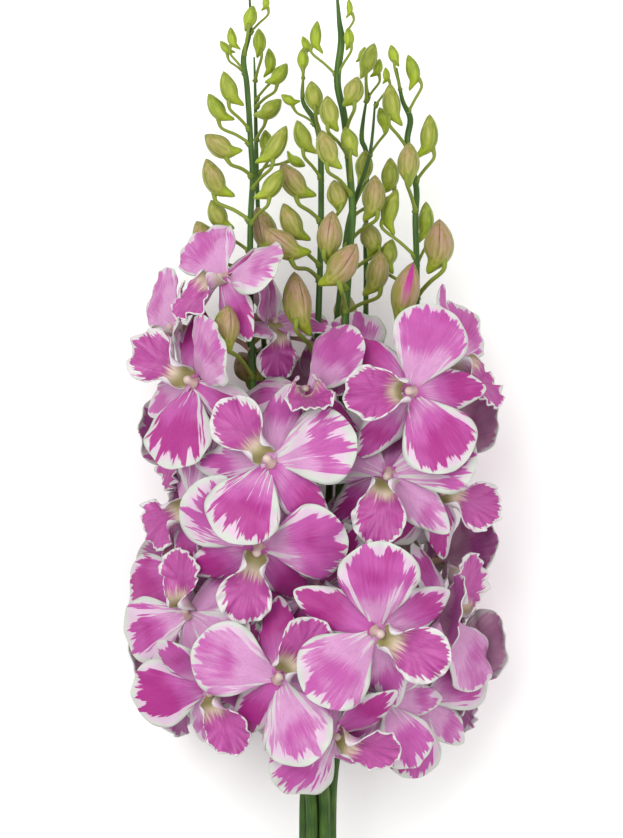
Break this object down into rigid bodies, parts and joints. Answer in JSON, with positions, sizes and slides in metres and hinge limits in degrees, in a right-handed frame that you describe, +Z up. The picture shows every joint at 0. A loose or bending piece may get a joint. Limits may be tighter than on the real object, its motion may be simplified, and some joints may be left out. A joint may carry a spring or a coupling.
{
  "type": "dendrobium orchid bunch",
  "caption": "Cut dendrobium orchid sprays tied in a bunch and lying on their side: open blooms with broad petals below, rows of hooked buds towards the tips, bare stalks under the tie.",
  "frame": {"origin": "under the middle of the bunch's box, on the surface it lies on", "axes": "+Y along the stems from their cut ends to their tips, +X across the bunch, +Z up"},
  "size_m": [0.1726, 0.4994, 0.1304],
  "materials": {
    "petal": "soft satin petal",
    "stem": "smooth waxy green",
    "tie": "matt"
  },
  "bodies": {
    "root": {"bloom_01": "petal", "bloom_02": "petal", "bloom_03": "petal", "bloom_04": "petal", "bloom_05": "petal", "bloom_06": "petal", "bloom_07": "petal", "bloom_08": "petal", "bloom_09": "petal", "bloom_10": "petal", "bloom_11": "petal", "bloom_12": "petal", "bloom_13": "petal", "bloom_14": "petal", "bloom_15": "petal", "bloom_16": "petal", "bloom_17": "petal", "bloom_18": "petal", "bloom_19": "petal", "bloom_20": "petal", "bloom_21": "petal", "bloom_22": "petal", "bloom_23": "petal", "bloom_24": "petal", "bloom_25": "petal", "bloom_26": "petal", "bloom_27": "petal", "bloom_28": "petal", "bloom_29": "petal", "bloom_30": "petal", "bloom_31": "petal", "bloom_32": "petal", "bloom_33": "petal", "bloom_34": "petal", "bloom_35": "petal", "stem_a": "stem", "stem_b": "stem", "stem_c": "stem", "stem_d": "stem", "stem_e": "stem", "stem_f": "stem", "stem_g": "stem", "tie_band": "tie"}
  },
  "joints": []
}
